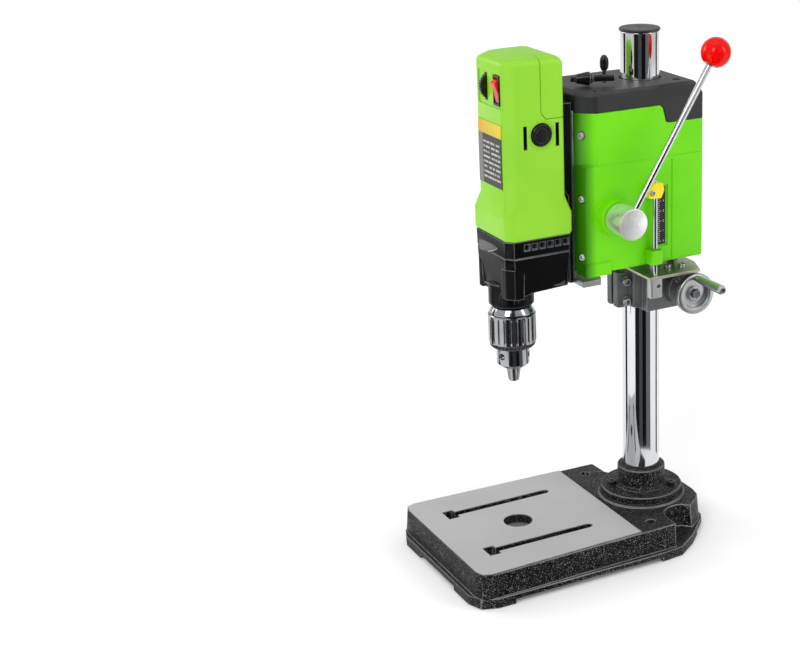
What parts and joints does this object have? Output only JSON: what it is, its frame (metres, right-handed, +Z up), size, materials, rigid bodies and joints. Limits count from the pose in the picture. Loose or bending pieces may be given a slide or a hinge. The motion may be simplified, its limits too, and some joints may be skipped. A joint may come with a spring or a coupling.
{
  "type": "bench drill press",
  "caption": "Small bench drill press: slotted cast base, round column, clamped collar with lift handwheel, green head with geared motor, ball lever and keyed chuck.",
  "frame": {"origin": "centre of the bounding box in plan, on the surface the base stands on", "axes": "+Z up along the column; the chuck is toward -Y and the feed lever toward +X"},
  "size_m": [0.202, 0.288, 0.518],
  "materials": {
    "cast_base": "matte black wrinkle coat",
    "dark_iron": "satin black",
    "chromed": "polished",
    "steel": "turned and ground",
    "zinc": "zinc plated",
    "head_green": "gloss paint over a light casting",
    "motor_green": "satin",
    "cover_grey": "fine texture",
    "gear_case": "satin",
    "black_plastic": "satin",
    "aluminium": "turned",
    "plate_bronze": "satin",
    "red_plastic": "gloss",
    "yellow_plastic": "satin",
    "label": "satin"
  },
  "bodies": {
    "base": {"base_casting": "cast_base", "column_flange": "dark_iron", "flange_screw_1": "dark_iron", "flange_screw_2": "dark_iron", "flange_screw_3": "dark_iron"},
    "column": {"column_bar": "chromed", "column_cap": "steel"},
    "collar": {"collar_body": "dark_iron", "clamp_screw_upper": "zinc", "clamp_screw_lower": "zinc", "collar_plate": "plate_bronze", "plate_bolt_1": "zinc", "plate_bolt_2": "zinc", "rod_block": "aluminium", "rod_block_screw": "dark_iron", "depth_rod": "chromed", "wheel_flange": "dark_iron", "wheel_flange_screw_1": "zinc", "wheel_flange_screw_2": "zinc", "wheel_flange_screw_3": "zinc"},
    "pointer": {"depth_pointer": "yellow_plastic", "pointer_screw": "zinc"},
    "lift_screw": {"lift_screw": "steel"},
    "handwheel": {"wheel_shaft": "steel", "handwheel": "aluminium", "wheel_nut": "zinc", "crank_pin": "steel"},
    "crank": {"crank_handle": "chromed"},
    "head": {"head_housing": "head_green", "top_cover": "cover_grey", "scale_plate": "black_plastic", "spring_housing": "dark_iron", "gib_screw_1": "zinc", "gib_screw_2": "zinc", "gib_screw_3": "zinc"},
    "lever": {"feed_shaft": "steel", "feed_hub": "aluminium", "lever_rod": "chromed", "lever_knob": "red_plastic"},
    "carriage": {"feed_slide": "aluminium", "feed_rack": "steel", "motor_bracket": "gear_case", "motor_shell": "motor_green", "motor_cap": "motor_green", "brush_cap_right": "black_plastic", "brush_cap_left": "black_plastic", "switch_frame": "black_plastic", "label_plate": "label", "gearbox_housing": "gear_case"},
    "speed_dial": {"speed_dial": "black_plastic"},
    "power_rocker": {"power_rocker": "red_plastic"},
    "chuck": {"spindle": "steel", "chuck_body": "steel"},
    "sleeve": {"chuck_sleeve": "steel"},
    "jaw_1": {"chuck_jaw_1": "steel"},
    "jaw_2": {"chuck_jaw_2": "steel"},
    "jaw_3": {"chuck_jaw_3": "steel"},
    "chuck_key": {"chuck_key": "dark_iron"}
  },
  "joints": [
    {"name": "head_swivel", "type": "hinge", "parent": "base", "child": "column", "pos_m": [-0.007, 0.092, 0.3], "axis": [0, 0, 1], "continuous": true},
    {"name": "collar_height", "type": "slide", "parent": "column", "child": "collar", "axis": [0, 0, 1], "range_m": [-0.075, 0]},
    {"name": "pointer_slide", "type": "slide", "parent": "collar", "child": "pointer", "axis": [0, 0, 1], "range_m": [-0.01, 0.003]},
    {"name": "head_lift", "type": "slide", "parent": "collar", "child": "head", "axis": [0, 0, 1], "range_m": [0, 0.04]},
    {"name": "lift_screw_turn", "type": "hinge", "parent": "collar", "child": "lift_screw", "pos_m": [0.009, 0.119, 0.3], "axis": [0, 0, 1], "range_deg": [0, 1801]},
    {"name": "handwheel_turn", "type": "hinge", "parent": "collar", "child": "handwheel", "pos_m": [0.03, 0.119, 0.2628], "axis": [1, 0, 0], "range_deg": [-1801, 0]},
    {"name": "crank_spin", "type": "hinge", "parent": "handwheel", "child": "crank", "pos_m": [0.08, 0.119, 0.2794], "axis": [1, 0, 0], "continuous": true},
    {"name": "feed", "type": "slide", "parent": "head", "child": "carriage", "axis": [0, 0, -1], "range_m": [0, 0.06], "stiffness_N_per_m": 600, "springref_m": -0.06},
    {"name": "lever_turn", "type": "hinge", "parent": "head", "child": "lever", "pos_m": [0.06, 0.0342, 0.3519], "axis": [1, 0, 0], "range_deg": [0, 191.5]},
    {"name": "speed_dial_turn", "type": "hinge", "parent": "carriage", "child": "speed_dial", "pos_m": [-0.0145, -0.0613, 0.478], "axis": [1, 0, 0], "range_deg": [-130, 130]},
    {"name": "power_rocker_tilt", "type": "hinge", "parent": "carriage", "child": "power_rocker", "pos_m": [0.0104, -0.066, 0.478], "axis": [1, 0, 0], "range_deg": [-12, 0]},
    {"name": "spindle_turn", "type": "hinge", "parent": "carriage", "child": "chuck", "pos_m": [-0.007, -0.0525, 0.25], "axis": [0, 0, 1], "continuous": true},
    {"name": "sleeve_turn", "type": "hinge", "parent": "chuck", "child": "sleeve", "pos_m": [-0.007, -0.0525, 0.24], "axis": [0, 0, 1], "range_deg": [0, 1441]},
    {"name": "jaw_1_slide", "type": "slide", "parent": "chuck", "child": "jaw_1", "axis": [0.1433, -0.098, 0.9848], "range_m": [0, 0.01202]},
    {"name": "jaw_2_slide", "type": "slide", "parent": "chuck", "child": "jaw_2", "axis": [0.0133, 0.1731, 0.9848], "range_m": [0, 0.01202]},
    {"name": "jaw_3_slide", "type": "slide", "parent": "chuck", "child": "jaw_3", "axis": [-0.1566, -0.0751, 0.9848], "range_m": [0, 0.01202]},
    {"name": "key_lift_off", "type": "slide", "parent": "head", "child": "chuck_key", "axis": [0, 0, 1], "range_m": [0, 0.05]}
  ],
  "couplings": [
    {"joint": "lift_screw_turn", "follows": "head_lift", "rad_per_m": 785.4},
    {"joint": "handwheel_turn", "follows": "head_lift", "rad_per_m": -785.4},
    {"joint": "lever_turn", "follows": "feed", "rad_per_m": 55.556},
    {"joint": "jaw_1_slide", "follows": "sleeve_turn", "m_per_rad": 0.00047746},
    {"joint": "jaw_2_slide", "follows": "sleeve_turn", "m_per_rad": 0.00047746},
    {"joint": "jaw_3_slide", "follows": "sleeve_turn", "m_per_rad": 0.00047746}
  ]
}
